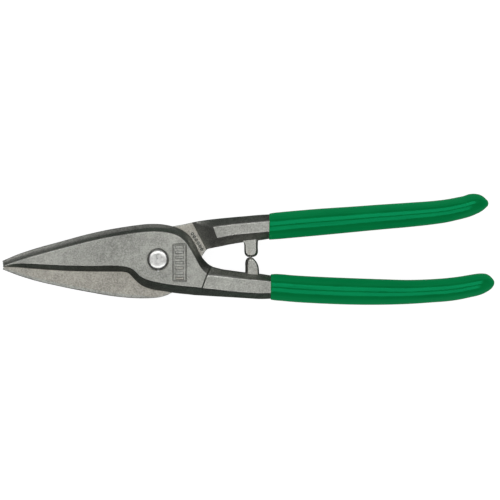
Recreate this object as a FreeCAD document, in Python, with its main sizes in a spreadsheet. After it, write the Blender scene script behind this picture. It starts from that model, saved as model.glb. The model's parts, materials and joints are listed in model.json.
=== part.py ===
# Tinner's snips of the Berlin pattern: two drop-forged halves that cross at a bolted pivot, each running
# from its blade through a round boss into the opposite handle, with dipped grips on both handles.
#
# Row frame, millimetres: +X runs from the blade tips to the handle ends, +Y from the lower handle to the
# upper one, +Z out of the face that carries the domed bolt head. The origin is on the pivot axis, at the
# end face of the bolt, which is the lowest face when the snips lie on a bench.
#
# Each half is drawn in its own frame: x as in the row, z = 0 on the shear plane where the two blades
# slide on each other, z up to the half's own outer face, and y towards the back of its own blade. The
# front half keeps the row's directions, and the rear half is turned half a turn about X.
import FreeCAD, Part

import os

import Sketcher
from FreeCAD import Placement, Rotation, Vector

DIMENSIONS = {
    # stack along the pivot axis
    "shear_height": 13.1,
    "blade_gap": 0.04,
    "boss_thickness": 5.4,
    "tip_thickness": 3.2,
    "blade_land": 1.2,
    "tip_reach": 86.8,
    "cutter_reach": 40.0,
    # handle bars and the dipped coating on them: a face's share is its width over the whole width, the
    # end inset is how far a grip's flat face stops short of its tip, and the mouth slants because it is
    # square to a handle that slopes by about one in twelve
    "bar_half_thickness": 5.4,
    "bar_land": 1.2,
    "grip_half_thickness": 6.8,
    "grip_land": 2.2,
    "bar_face_share": 0.47,
    "grip_face_share": 0.52,
    "grip_end_inset": 4.5,
    "mouth_slant": 0.6,
    "coat": 0.8,
    "coat_at_tip": 2.2,
    # stop lugs between the handles
    "lug_thickness": 3.8,
    # pivot bolt with a domed head
    "shank_radius": 4.0,
    "thread_radius": 3.85,
    "thread_chamfer": 0.6,
    "head_radius": 5.9,
    "head_rim": 0.9,
    "head_height": 2.6,
    "head_seat_depth": 1.0,
    "head_seat_radius": 6.4,
    "nib_width": 1.4,
    "nib_reach": 7.2,
    "nib_height": 0.5,
    "nib_clearance": 0.1,
    "bore_clearance": 0.05,
    # washer, disc spring and self-locking nut on the far side
    "nut_seat_depth": 1.0,
    "nut_seat_radius": 8.6,
    "washer_radius": 8.0,
    "washer_bore": 4.2,
    "washer_thickness": 0.8,
    "disc_radius": 7.5,
    "disc_thickness": 0.6,
    "disc_dish": 0.3,
    "nut_across_flats": 13.0,
    "nut_hexagon_height": 4.9,
    "nut_collar_height": 1.6,
    "nut_collar_radius": 5.9,
    "nut_corner_fall": 30,
    "lock_ring_height": 1.2,
    "lock_ring_radius": 4.9,
}

# Outlines of the front half: a pair of points is a straight edge, and more points are one smooth curve.
# The parting outline is the widest section of the forging, at the height of the land, and the face
# outline bounds its flat raised face.
FRONT_HALF = {
    "parting": {
        "tip": [(-86.8, -4.1), (-86.8, -0.8)],
        "back": [(-86.8, -0.8), (-75.5, 3.8), (-43.4, 13.0), (-13.3, 18.9), (-1.9, 19.8)],
        "crown": [(-1.9, 19.8), (6.7, 18.8), (12.8, 16.6), (17.6, 12.9), (20.7, 8.0), (24.2, 1.6)],
        "neck": [(24.2, 1.6), (26.1, -1.0), (29.1, -3.5), (33.5, -5.3)],
        "root": [(33.5, -5.3), (30.0, -20.2)],
        "underside": [(30.0, -20.2), (13.4, -19.2), (0.1, -17.2), (-7.2, -15.5), (-12.0, -12.3)],
        "throat": [(-12.0, -12.3), (-15.0, -9.1), (-18.6, -7.1)],
        "edge": [(-18.6, -7.1), (-37.8, -6.7), (-62.9, -5.7), (-86.8, -4.1)],
    },
    "face": {
        "tip": [(-85.2, -3.8), (-85.2, -3.0)],
        "back": [(-85.2, -3.0), (-74.0, 0.4), (-43.4, 8.8), (-13.3, 14.7), (-1.0, 15.5)],
        "crown": [(-1.0, 15.5), (6.7, 14.7), (12.3, 12.5), (16.2, 9.2), (18.6, 5.2), (21.6, -0.6)],
        "neck": [(21.6, -0.6), (23.5, -4.0), (25.4, -6.3), (27.6, -8.2)],
        "root": [(27.6, -8.2), (24.4, -15.9)],
        "underside": [(24.4, -15.9), (12.3, -14.7), (0.1, -12.8), (-5.6, -11.5), (-9.1, -9.8)],
        "throat": [(-9.1, -9.8), (-12.8, -6.2), (-18.3, -4.1)],
        "edge": [(-18.3, -4.1), (-37.8, -3.7), (-62.9, -3.0), (-85.2, -3.8)],
    },
    "slope_foot": [(27.6, -2.8), (19.5, -19.4)],
    "slope_head": [(33.6, -10.0), (31.2, -17.0)],
    "buried_face": [(25.8, -7.6), (21.0, -15.0)],
    "bar": [(40.2, -13.6, 7.5), (57.5, -15.1, 7.0)],
    "grip": [(66.0, -15.6, 7.3), (90.3, -17.1, 7.4), (123.8, -18.1, 7.3), (147.0, -17.8, 6.6),
             (160.6, -16.9, 6.5), (174.0, -14.9, 6.3), (180.6, -13.6, 5.75), (184.2, -13.1, 4.3),
             (186.5, -13.0, 2.3)],
    "grip_tip": (187.4, -12.9),
    "mouth": (62.0, -15.3, 7.2),
    "lug": [[(48.4, -12.0), (48.4, -1.3)], [(48.4, -1.3), (48.8, -0.2), (49.8, 0.8), (51.2, 1.1)],
            [(51.2, 1.1), (53.6, -0.2), (55.3, -2.6), (56.1, -6.0)], [(56.1, -6.0), (56.1, -12.0)],
            [(56.1, -12.0), (48.4, -12.0)]],
}

REAR_HALF = {
    "parting": {
        "tip": [(-86.9, 2.3), (-86.9, 5.6)],
        "back": [(-86.9, 5.6), (-76.9, 9.4), (-43.4, 17.4), (-18.0, 21.3), (-6.6, 21.7)],
        "crown": [(-6.6, 21.7), (3.4, 20.5), (9.8, 17.1), (14.3, 13.2), (18.7, 7.6), (24.2, -1.6)],
        "neck": [(24.2, -1.6), (26.8, -5.3), (30.2, -6.4), (33.5, -7.4)],
        "root": [(33.5, -7.4), (30.0, -21.8)],
        "underside": [(30.0, -21.8), (13.4, -19.6), (0.1, -17.2), (-7.2, -14.9), (-12.0, -11.5)],
        "throat": [(-12.0, -11.5), (-15.0, -7.9), (-18.6, -5.7)],
        "edge": [(-18.6, -5.7), (-37.8, -3.9), (-62.9, -1.1), (-86.9, 2.3)],
    },
    "face": {
        "tip": [(-85.3, 3.4), (-85.3, 4.2)],
        "back": [(-85.3, 4.2), (-75.4, 6.2), (-43.4, 13.2), (-18.0, 16.9), (-6.0, 17.4)],
        "crown": [(-6.0, 17.4), (2.8, 16.0), (8.0, 13.4), (12.0, 9.8), (16.2, 4.4), (21.0, -3.8)],
        "neck": [(21.0, -3.8), (23.4, -7.6), (26.0, -9.6), (28.6, -10.4)],
        "root": [(28.6, -10.4), (25.4, -17.8)],
        "underside": [(25.4, -17.8), (12.3, -15.1), (0.1, -12.8), (-5.6, -11.1), (-9.1, -9.2)],
        "throat": [(-9.1, -9.2), (-12.8, -5.2), (-18.3, -2.8)],
        "edge": [(-18.3, -2.8), (-37.8, -0.9), (-62.9, 1.5), (-85.3, 3.4)],
    },
    "slope_foot": [(26.9, -5.8), (18.7, -20.2)],
    "slope_head": [(32.9, -11.8), (30.6, -18.0)],
    "buried_face": [(25.8, -10.2), (21.0, -16.6)],
    "bar": [(40.2, -15.9, 7.4), (57.5, -17.9, 7.0)],
    "grip": [(66.0, -18.8, 7.4), (90.3, -20.9, 7.4), (123.8, -23.5, 7.0), (147.0, -25.4, 6.7),
             (160.6, -27.0, 6.4), (170.6, -29.2, 6.3), (175.0, -30.4, 6.3), (179.0, -31.1, 5.0),
             (182.6, -31.2, 2.5)],
    "grip_tip": (184.2, -31.3),
    "mouth": (61.4, -18.3, 7.3),
    "lug": [[(47.9, -14.0), (47.9, -3.8)], [(47.9, -3.8), (48.4, -2.4), (49.6, -1.6), (51.2, -1.3)],
            [(51.2, -1.3), (53.3, -1.6), (54.8, -2.4), (55.5, -4.0)], [(55.5, -4.0), (55.5, -14.0)],
            [(55.5, -14.0), (47.9, -14.0)]],
}

ROUGH = 5.0     # size at which a sketch is first drawn, before its constraints take their formulas


# ---------------------------------------------------------------- document, sheet and small helpers
doc = FreeCAD.newDocument("tinner_snips")
sheet = doc.addObject("Spreadsheet::Sheet", "dims")
for line, (alias, value) in enumerate(DIMENSIONS.items(), start=1):
    sheet.set(f"A{line}", alias)
    sheet.set(f"B{line}", str(value))
    sheet.setAlias(f"B{line}", alias)
doc.recompute()


def bind(item, **formulas):
    """Bind properties to sheet formulas; a double underscore in a keyword stands for a dot."""
    for path, formula in formulas.items():
        item.setExpression(path.replace("__", "."), formula)
    return item


def new_body(label):
    body = doc.addObject("PartDesign::Body", label)
    body.Label = label
    return body


def xy_plane(body):
    return next(item for item in body.Origin.OriginFeatures if item.Role == "XY_Plane")


def new_sketch(body, name, height=None):
    """A sketch on the body's own XY plane, or at a height above it."""
    sketch = body.newObject("Sketcher::SketchObject", name)
    sketch.AttachmentSupport = [(xy_plane(body), "")]
    sketch.MapMode = "FlatFace"
    if height is not None:
        bind(sketch, AttachmentOffset__Base__z=height)
    return sketch


def draw_loop(sketch, stretches):
    """Draw a closed loop: two points make a straight edge and more points one smooth curve."""
    for stretch in stretches:
        points = [Vector(x, y, 0) for x, y in stretch]
        if len(points) == 2:
            sketch.addGeometry(Part.LineSegment(points[0], points[1]))
        else:
            curve = Part.BSplineCurve()
            curve.interpolate(points)
            sketch.addGeometry(curve)
    count = len(stretches)
    for index in range(count):
        following = (index + 1) % count
        sketch.addConstraint(Sketcher.Constraint("Coincident", index, 2, following, 1))
    return sketch


def loft(body, name, sections, cutting=False):
    kind = "PartDesign::SubtractiveLoft" if cutting else "PartDesign::AdditiveLoft"
    feature = body.newObject(kind, name)
    feature.Profile = sections[0]
    feature.Sections = sections[1:]
    feature.Ruled = True
    doc.recompute()
    return feature


def volume(body):
    doc.recompute()
    return body.Shape.Volume


def cut(body, feature_name, sketch, through=False):
    """Pocket away from the shear plane and check that it removes material."""
    before = volume(body)
    pocket = body.newObject("PartDesign::Pocket", feature_name)
    pocket.Profile = sketch
    pocket.Type = "Length"
    pocket.Reversed = True
    pocket.Midplane = through
    bind(pocket, Length="dims.cutter_reach")
    if volume(body) >= before:
        raise RuntimeError(f"{feature_name} removes nothing from {body.Label}")
    return pocket


def circle(sketch, radius):
    sketch.addGeometry(Part.Circle(Vector(), Vector(0, 0, 1), ROUGH))
    sketch.addConstraint(Sketcher.Constraint("Coincident", 0, 3, -1, 1))
    sketch.addConstraint(Sketcher.Constraint("Radius", 0, ROUGH))
    sketch.setExpression("Constraints[1]", radius)
    return sketch


def rectangle(sketch, width, reach):
    """A rectangle that hangs from the origin along -Y, centred on the Y axis."""
    corners = [Vector(x, y, 0) for x, y in ((-ROUGH, 0), (ROUGH, 0), (ROUGH, -ROUGH), (-ROUGH, -ROUGH))]
    for index in range(4):
        sketch.addGeometry(Part.LineSegment(corners[index], corners[(index + 1) % 4]))
    for index in range(4):
        sketch.addConstraint(Sketcher.Constraint("Coincident", index, 2, (index + 1) % 4, 1))
    for index, direction in enumerate(("Horizontal", "Vertical", "Horizontal", "Vertical")):
        sketch.addConstraint(Sketcher.Constraint(direction, index))
    sketch.addConstraint(Sketcher.Constraint("Symmetric", 0, 1, 0, 2, -1, 1))
    sketch.addConstraint(Sketcher.Constraint("DistanceX", 0, 1, 0, 2, 2 * ROUGH))
    sketch.setExpression("Constraints[9]", width)
    sketch.addConstraint(Sketcher.Constraint("DistanceY", 1, 2, 1, 1, ROUGH))
    sketch.setExpression("Constraints[10]", reach)
    return sketch


# ---------------------------------------------------------------- shapes shared by both halves
def blade_and_boss(body, half):
    """Flat shear face, upright land, then draft up to a raised face that thins towards the tip."""
    parting = list(half["parting"].values())
    foot = draw_loop(new_sketch(body, "shear_outline", height="dims.blade_gap / 2"), parting)
    land = draw_loop(new_sketch(body, "land_outline", height="dims.blade_land"), parting)
    face = new_sketch(body, "face_outline", height="dims.boss_thickness")
    face.AttachmentOffset = Placement(Vector(), Rotation(Vector(0, -1, 0), 1.0))
    bind(face, AttachmentOffset__Rotation__Angle=(
        "atan((dims.boss_thickness - dims.tip_thickness) / dims.tip_reach)"))
    draw_loop(face, list(half["face"].values()))
    loft(body, "blade_and_boss", [foot, land, face])


def bar_loop(start, stations, tip, share=1.0):
    """Loop round a tapering bar: start edge, outer side, tip, inner side."""
    inner = [start[0]] + [(x, y + share * w) for x, y, w in stations] + [tip]
    outer = [tip] + [(x, y - share * w) for x, y, w in reversed(stations)] + [start[1]]
    return [inner, outer, [start[1], start[0]]]


def towards(start, end, share):
    """Points that lie a share of the way between two lists of points."""
    return [(a[0] + share * (b[0] - a[0]), a[1] + share * (b[1] - a[1])) for a, b in zip(start, end)]


def shortened(stations, reach, inset):
    """The same stations drawn back along x, by inset at the far end and by nothing at the near end."""
    near = stations[0][0]
    share = (reach - near - inset) / (reach - near)
    return [(near + (x - near) * share, y, w) for x, y, w in stations]


def handle_core(body, half, name, cutting=False):
    """The handle bar: an octagon with a land on the parting line, which reaches to both sides of the
    shear plane. Its back side rises from the shear plane on a slope, past the other half's boss."""
    coated = [(x, y, w - DIMENSIONS["coat"]) for x, y, w in half["grip"]]
    tip = (half["grip_tip"][0] - DIMENSIONS["coat_at_tip"], half["grip_tip"][1])
    stations = half["bar"] + shortened(coated, half["grip_tip"][0], DIMENSIONS["coat_at_tip"])
    face_stations = shortened(stations, tip[0], DIMENSIONS["grip_end_inset"])
    face_tip = (tip[0] - DIMENSIONS["grip_end_inset"], tip[1])
    face_share = DIMENSIONS["bar_face_share"]
    foot, head = half["slope_foot"], half["slope_head"]
    land_share = DIMENSIONS["bar_land"] / DIMENSIONS["bar_half_thickness"]
    sections = []
    for label, height, start, rows, end, share in (
            ("back_face", "-dims.bar_half_thickness", head, face_stations, face_tip, face_share),
            ("back_land", "-dims.bar_land", towards(foot, head, land_share), stations, tip, 1.0),
            ("shear_level", "-dims.blade_gap / 2", foot, stations, tip, 1.0),
            ("front_land", "dims.bar_land", foot, stations, tip, 1.0),
            ("front_face", "dims.bar_half_thickness", half["buried_face"], face_stations, face_tip,
             face_share)):
        sketch = new_sketch(body, f"{name}_{label}", height=height)
        sections.append(draw_loop(sketch, bar_loop(start, rows, end, share)))
    loft(body, name, sections, cutting)


def stop_lug(body, half):
    """The short forged lug that meets the other handle's lug when the snips are shut."""
    lug = body.newObject("PartDesign::Pad", "stop_lug")
    lug.Profile = draw_loop(new_sketch(body, "lug_outline"), half["lug"])
    lug.Midplane = True
    bind(lug, Length="dims.lug_thickness")


def pivot_bore(body, seat_radius, seat_depth):
    bore = circle(new_sketch(body, "bore_circle"), "dims.shank_radius + dims.bore_clearance")
    cut(body, "pivot_bore", bore, through=True)
    seat = new_sketch(body, "seat_circle", height=f"dims.boss_thickness - {seat_depth}")
    cut(body, "spot_face", circle(seat, seat_radius))


def place(body, rear):
    """Stand a half, or its grip, on the shear plane; the rear one is turned half a turn about X."""
    if rear:
        body.Placement = Placement(Vector(), Rotation(Vector(1, 0, 0), 180))
    bind(body, Placement__Base__z="dims.shear_height")
    return body


def forged_half(label, half, rear, seat_radius, seat_depth):
    body = new_body(label)
    blade_and_boss(body, half)
    handle_core(body, half, "handle")
    stop_lug(body, half)
    pivot_bore(body, seat_radius, seat_depth)
    return place(body, rear)


def dipped_grip(label, half, rear):
    """A coating closed at the handle's end and open at its mouth, hollowed by the handle inside it."""
    body = new_body(label)
    x, y, w = half["mouth"]
    slant, share = DIMENSIONS["mouth_slant"], DIMENSIONS["grip_face_share"]
    start = [(x + slant, y + w), (x - slant, y - w)]
    face_start = [(x + slant, y + share * w), (x - slant, y - share * w)]
    tip = half["grip_tip"]
    face_rows = shortened(half["grip"], tip[0], DIMENSIONS["grip_end_inset"])
    face_tip = (tip[0] - DIMENSIONS["grip_end_inset"], tip[1])
    sections = []
    for name, height, edge, rows, end, width in (
            ("back_face", "-dims.grip_half_thickness", face_start, face_rows, face_tip, share),
            ("back_land", "-dims.grip_land", start, half["grip"], tip, 1.0),
            ("front_land", "dims.grip_land", start, half["grip"], tip, 1.0),
            ("front_face", "dims.grip_half_thickness", face_start, face_rows, face_tip, share)):
        sketch = new_sketch(body, f"grip_{name}", height=height)
        sections.append(draw_loop(sketch, bar_loop(edge, rows, end, width)))
    loft(body, "coating", sections)
    before = volume(body)
    handle_core(body, half, "hollow", cutting=True)
    if volume(body) >= before:
        raise RuntimeError(f"{label} is not hollow")
    return place(body, rear)


# ---------------------------------------------------------------- the pieces
def upper_blade_half():
    body = forged_half("upper_blade_half", FRONT_HALF, False, "dims.head_seat_radius", "dims.head_seat_depth")
    slot = new_sketch(body, "nib_slot", height="dims.boss_thickness - dims.head_seat_depth")
    rectangle(slot, "dims.nib_width + 2 * dims.nib_clearance", "dims.nib_reach + dims.nib_clearance")
    cut(body, "nib_slot_cut", slot)
    return body


def lower_blade_half():
    return forged_half("lower_blade_half", REAR_HALF, True, "dims.nut_seat_radius", "dims.nut_seat_depth")


def primitive(kind, name, **formulas):
    """A Part primitive whose sizes and place are sheet formulas."""
    return bind(doc.addObject(f"Part::{kind}", name), **formulas)


def fused(name, items):
    union = doc.addObject("Part::MultiFuse", name)
    union.Shapes = items
    union.Label = name
    return union


def cut_away(name, base, tool):
    difference = doc.addObject("Part::Cut", name)
    difference.Base = base
    difference.Tool = tool
    difference.Label = name
    return difference


def common(name, base, tool):
    overlap = doc.addObject("Part::Common", name)
    overlap.Base = base
    overlap.Tool = tool
    return overlap


HEAD_SEAT = "(dims.shear_height + dims.boss_thickness - dims.head_seat_depth)"
NUT_SEAT = "(dims.shear_height - dims.boss_thickness + dims.nut_seat_depth)"
WASHER_BASE = f"({NUT_SEAT} - dims.washer_thickness)"
NUT_TOP = f"({WASHER_BASE} - dims.disc_thickness - dims.disc_dish)"
COLLAR_TOP = f"({NUT_TOP} - dims.nut_hexagon_height)"
COLLAR_BASE = f"({COLLAR_TOP} - dims.nut_collar_height)"


def pivot_bolt():
    """Shank with a threaded end, and a domed head whose nib keeps it from turning in its seat."""
    dome_rise = "(dims.head_height - dims.head_rim)"
    dome_radius = f"((dims.head_radius ^ 2 + {dome_rise} ^ 2) / (2 * {dome_rise}))"
    chamfer = primitive("Cone", "bolt_chamfer", Radius1="dims.thread_radius - dims.thread_chamfer",
                        Radius2="dims.thread_radius", Height="dims.thread_chamfer")
    thread = primitive("Cylinder", "bolt_thread", Radius="dims.thread_radius",
                       Height=f"{NUT_TOP} - dims.thread_chamfer", Placement__Base__z="dims.thread_chamfer")
    shank = primitive("Cylinder", "bolt_shank", Radius="dims.shank_radius",
                      Height=f"{HEAD_SEAT} - {NUT_TOP}", Placement__Base__z=NUT_TOP)
    rim = primitive("Cylinder", "bolt_head_rim", Radius="dims.head_radius", Height="dims.head_rim",
                    Placement__Base__z=HEAD_SEAT)
    ball = primitive("Sphere", "bolt_dome_ball", Radius=dome_radius,
                     Placement__Base__z=f"{HEAD_SEAT} + dims.head_height - {dome_radius}")
    drum = primitive("Cylinder", "bolt_dome_drum", Radius="dims.head_radius", Height="dims.head_height",
                     Placement__Base__z=f"{HEAD_SEAT} + dims.head_rim")
    nib = primitive("Box", "bolt_nib", Length="dims.nib_width", Width="dims.nib_reach",
                    Height="dims.nib_height", Placement__Base__x="-dims.nib_width / 2",
                    Placement__Base__y="-dims.nib_reach", Placement__Base__z=HEAD_SEAT)
    return fused("pivot_bolt", [chamfer, thread, shank, rim, common("bolt_dome", ball, drum), nib])


def flat_washer():
    disc = primitive("Cylinder", "washer_disc", Radius="dims.washer_radius",
                     Height="dims.washer_thickness", Placement__Base__z=WASHER_BASE)
    hole = primitive("Cylinder", "washer_hole", Radius="dims.washer_bore",
                     Height="dims.washer_thickness", Placement__Base__z=WASHER_BASE)
    return cut_away("flat_washer", disc, hole)


def disc_spring():
    """A coned disc: its outer rim bears on the washer and its inner edge on the nut."""
    rim_base = f"({WASHER_BASE} - dims.disc_thickness)"
    rim = primitive("Cylinder", "disc_rim", Radius="dims.disc_radius", Height="dims.disc_thickness",
                    Placement__Base__z=rim_base)
    bowl = primitive("Cone", "disc_bowl", Radius1="dims.washer_bore", Radius2="dims.disc_radius",
                     Height="dims.disc_dish", Placement__Base__z=NUT_TOP)
    hollow = primitive("Cone", "disc_hollow", Radius1="dims.washer_bore", Radius2="dims.disc_radius",
                       Height="dims.disc_dish", Placement__Base__z=f"{WASHER_BASE} - dims.disc_dish")
    hole = primitive("Cylinder", "disc_hole", Radius="dims.washer_bore", Height="dims.shear_height")
    return cut_away("disc_spring", fused("disc_blank", [rim, bowl]), fused("disc_tools", [hollow, hole]))


def pivot_nut():
    """Hexagon with chamfered corners, and a collar rolled over the locking ring at its far end."""
    hexagon = primitive("Prism", "nut_hexagon", Circumradius="dims.nut_across_flats / (2 * cos(180 deg / 6))",
                        Height="dims.nut_hexagon_height", Placement__Base__z=COLLAR_TOP)
    hexagon.Polygon = 6
    spread = "dims.nut_hexagon_height / tan(dims.nut_corner_fall * 1 deg)"
    cone = primitive("Cone", "nut_corner_cone", Radius1="dims.nut_across_flats / 2",
                     Radius2=f"dims.nut_across_flats / 2 + {spread}",
                     Height="dims.nut_hexagon_height", Placement__Base__z=COLLAR_TOP)
    collar = primitive("Cylinder", "nut_collar", Radius="dims.nut_collar_radius",
                       Height="dims.nut_collar_height", Placement__Base__z=COLLAR_BASE)
    bore = primitive("Cylinder", "nut_bore", Radius="dims.thread_radius + dims.bore_clearance",
                     Height="dims.shear_height")
    pocket = primitive("Cylinder", "nut_ring_pocket", Radius="dims.lock_ring_radius",
                       Height="dims.lock_ring_height",
                       Placement__Base__z=f"{COLLAR_TOP} - dims.lock_ring_height")
    blank = fused("nut_blank", [common("nut_body", hexagon, cone), collar])
    return cut_away("pivot_nut", blank, fused("nut_tools", [bore, pocket]))


def nut_lock_ring():
    ring = primitive("Cylinder", "ring_disc", Radius="dims.lock_ring_radius",
                     Height="dims.lock_ring_height", Placement__Base__z=f"{COLLAR_TOP} - dims.lock_ring_height")
    hole = primitive("Cylinder", "ring_hole", Radius="dims.thread_radius + dims.bore_clearance / 2",
                     Height="dims.shear_height")
    return cut_away("nut_lock_ring", ring, hole)


pieces = [
    upper_blade_half(),
    lower_blade_half(),
    pivot_bolt(),
    flat_washer(),
    disc_spring(),
    pivot_nut(),
    nut_lock_ring(),
    dipped_grip("lower_grip", FRONT_HALF, rear=False),
    dipped_grip("upper_grip", REAR_HALF, rear=True),
]
doc.recompute()

# ---------------------------------------------------------------- checks and export
for item in doc.Objects:
    if "Invalid" in item.State or "Error" in item.State:
        raise RuntimeError(f"{item.Name} did not recompute: {item.State}")
os.makedirs("parts", exist_ok=True)
for piece in pieces:
    if piece.Shape.isNull() or not piece.Shape.isValid():
        raise RuntimeError(f"{piece.Label} has no valid shape")
    box = piece.Shape.BoundBox
    print(f"{piece.Label}: {len(piece.Shape.Solids)} solid, {piece.Shape.Volume:.0f} mm3, "
          f"x {box.XMin:.2f}..{box.XMax:.2f}, y {box.YMin:.2f}..{box.YMax:.2f}, "
          f"z {box.ZMin:.2f}..{box.ZMax:.2f}")
    piece.Shape.exportStep(f"parts/{piece.Label}.step")
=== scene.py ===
import json
import math

import bmesh
import bpy
import numpy as np
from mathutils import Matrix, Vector


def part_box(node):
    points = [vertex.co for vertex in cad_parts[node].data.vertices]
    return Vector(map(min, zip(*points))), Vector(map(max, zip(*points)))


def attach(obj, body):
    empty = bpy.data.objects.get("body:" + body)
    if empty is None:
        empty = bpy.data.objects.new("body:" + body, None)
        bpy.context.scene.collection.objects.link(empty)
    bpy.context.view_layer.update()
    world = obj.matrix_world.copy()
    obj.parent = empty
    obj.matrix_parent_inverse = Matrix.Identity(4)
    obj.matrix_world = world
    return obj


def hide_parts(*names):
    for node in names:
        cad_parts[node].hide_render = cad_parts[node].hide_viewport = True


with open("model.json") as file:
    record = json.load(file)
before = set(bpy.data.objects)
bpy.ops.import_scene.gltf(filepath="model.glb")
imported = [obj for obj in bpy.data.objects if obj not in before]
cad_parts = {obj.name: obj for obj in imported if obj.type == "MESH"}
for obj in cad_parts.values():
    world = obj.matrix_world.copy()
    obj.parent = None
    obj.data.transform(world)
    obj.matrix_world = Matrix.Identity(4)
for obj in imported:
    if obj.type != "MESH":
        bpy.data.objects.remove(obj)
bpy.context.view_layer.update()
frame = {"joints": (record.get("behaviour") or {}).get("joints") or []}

mm = 0.001
shearHeight = frame["joints"][0]["pos_m"][2] / mm  # the plane where the two blades slide on each other
roundingShare = 0.47  # a corner's rounding takes at most this share of the straight run beside it


def smoothThrough(knots, values, at):
    # cubic curve through every station; its slope at a station is that of the parabola through three
    knots = np.asarray(knots, float)
    values = np.asarray(values, float).reshape(len(knots), -1)
    step = np.diff(knots)[:, None]
    slope = np.diff(values, axis=0) / step
    tangent = np.vstack([slope[:1], (slope[:-1] * step[1:] + slope[1:] * step[:-1])
                         / (step[1:] + step[:-1]), slope[-1:]])
    i = np.clip(np.searchsorted(knots, at, side="right") - 1, 0, len(knots) - 2)
    h = step[i]
    u = (at - knots[i])[:, None] / h
    return ((2 * u ** 3 - 3 * u ** 2 + 1) * values[i] + (u ** 3 - 2 * u ** 2 + u) * h * tangent[i]
            + (3 * u ** 2 - 2 * u ** 3) * values[i + 1] + (u ** 3 - u ** 2) * h * tangent[i + 1])


def easeStep(x):
    # 0 below 0, 1 above 1, and 3x^2 - 2x^3 between
    x = np.clip(x, 0.0, 1.0)
    return x * x * (3 - 2 * x)

def roundedSide(corners, radii, arcSteps, spanSteps):
    # one side of a cross-section, for every row at once: straight runs from corner to corner, and at each
    # inner corner a parabola that leaves both runs at the radius's distance; returns the points and their
    # arc weight, which is sin(pi t)^0.7 along a parabola and 0 on a straight run
    points, weight = [corners[:, 0]], [0.0]
    last = corners[:, 0]
    for c in range(1, corners.shape[1] - 1):
        here = corners[:, c]
        towardsBefore = corners[:, c - 1] - here
        towardsAfter = corners[:, c + 1] - here
        lengthBefore = np.linalg.norm(towardsBefore, axis=1) + 1e-9
        lengthAfter = np.linalg.norm(towardsAfter, axis=1) + 1e-9
        reach = np.minimum(radii[c - 1], roundingShare * np.minimum(lengthBefore, lengthAfter))
        start = here + towardsBefore * (reach / lengthBefore)[:, None]
        end = here + towardsAfter * (reach / lengthAfter)[:, None]
        for q in range(1, spanSteps[c - 1]):
            points.append(last + (start - last) * q / spanSteps[c - 1])
            weight.append(0.0)
        for t in np.linspace(0, 1, arcSteps + 1):
            points.append((1 - t) ** 2 * start + 2 * t * (1 - t) * here + t ** 2 * end)
            weight.append(math.sin(math.pi * t) ** 0.7 if 0 < t < 1 else 0.0)
        last = end
    for q in range(1, spanSteps[-1] + 1):
        points.append(last + (corners[:, -1] - last) * q / spanSteps[-1])
        weight.append(0.0)
    return np.stack(points, axis=1), np.array(weight)


def outwards(points, faces):
    # turns a closed skin the right way out: the sum over its triangles of a . (b x c) has to be positive
    quads = faces[:, 3] >= 0
    a, b, c = (points[faces[:, k]] for k in range(3))
    total = np.einsum("ij,ij->", a, np.cross(b, c))
    d = points[faces[quads, 3]]
    total += np.einsum("ij,ij->", a[quads], np.cross(c[quads], d))
    if total < 0:
        faces = np.where(quads[:, None], faces[:, ::-1], faces[:, [2, 1, 0, 3]])
    return faces


def addMesh(name, points, faces, attributes=None, sharpAngle=35.0):
    # points in millimetres, faces as rows of four indices with -1 in the last place of a triangle
    mesh = bpy.data.meshes.new(name)
    loops = [row[:4] if row[3] >= 0 else row[:3] for row in faces.tolist()]
    mesh.from_pydata((np.asarray(points) * mm).tolist(), [], loops)
    for label, values in (attributes or {}).items():
        layer = mesh.attributes.new(label, "FLOAT", "POINT")
        layer.data.foreach_set("value", np.asarray(values, np.float32).ravel())
    mesh.polygons.foreach_set("use_smooth", np.ones(len(mesh.polygons), bool))
    mesh.set_sharp_from_angle(angle=math.radians(sharpAngle))
    mesh.update()
    piece = bpy.data.objects.new(name, mesh)
    bpy.context.scene.collection.objects.link(piece)
    return piece

def gridFaces(rowCount, ringCount, closed=False):
    # the quads between neighbouring rows of a grid whose rows are rings; closed joins the last row to the
    # first, so that the grid is a ring both ways
    i, j = np.meshgrid(np.arange(rowCount if closed else rowCount - 1), np.arange(ringCount), indexing="ij")
    nextRow = (i + 1) % rowCount
    k = (j + 1) % ringCount
    quads = np.stack([i * ringCount + j, i * ringCount + k, nextRow * ringCount + k,
                      nextRow * ringCount + j], axis=-1)
    return quads.reshape(-1, 4)


def ringStack(rings):
    # the skin through a stack of rings, closed at both ends by a fan round the ring's middle
    rowCount, ringCount = rings.shape[:2]
    points = np.vstack([rings.reshape(-1, 3), rings[0].mean(axis=0)[None], rings[-1].mean(axis=0)[None]])
    i = np.arange(ringCount)
    k = (i + 1) % ringCount
    low = np.full(ringCount, len(points) - 2)
    none = np.full(ringCount, -1)
    above = (rowCount - 1) * ringCount
    lowFan = np.stack([k, i, low, none], axis=-1)
    highFan = np.stack([above + i, above + k, low + 1, none], axis=-1)
    return points, np.vstack([gridFaces(rowCount, ringCount), lowFan, highFan])


def tubePiece(name, rings, attributes=None, sharpAngle=35.0):
    # one closed skin through the rings; its attributes are given ring by ring
    points, faces = ringStack(rings)
    spread = {label: np.append(values.ravel(), [values[0].mean(), values[-1].mean()])
              for label, values in (attributes or {}).items()}
    return addMesh(name, points, outwards(points, faces), spread, sharpAngle)


def lathePiece(name, profile, turns=96, shapedBy=None, sharpAngle=35.0):
    # a closed profile of (radius, height) carried round the Z axis; shapedBy may change both with the angle
    angle = np.linspace(0, 2 * math.pi, turns, endpoint=False)[:, None]
    r = np.repeat(profile[None, :, 0], turns, axis=0)
    z = np.repeat(profile[None, :, 1], turns, axis=0)
    if shapedBy is not None:
        r, z = shapedBy(r, z, angle)
    points = np.stack([r * np.cos(angle), r * np.sin(angle), z], axis=-1).reshape(-1, 3)
    faces = gridFaces(turns, len(profile), closed=True)
    return addMesh(name, points, outwards(points, faces), None, sharpAngle)


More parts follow.
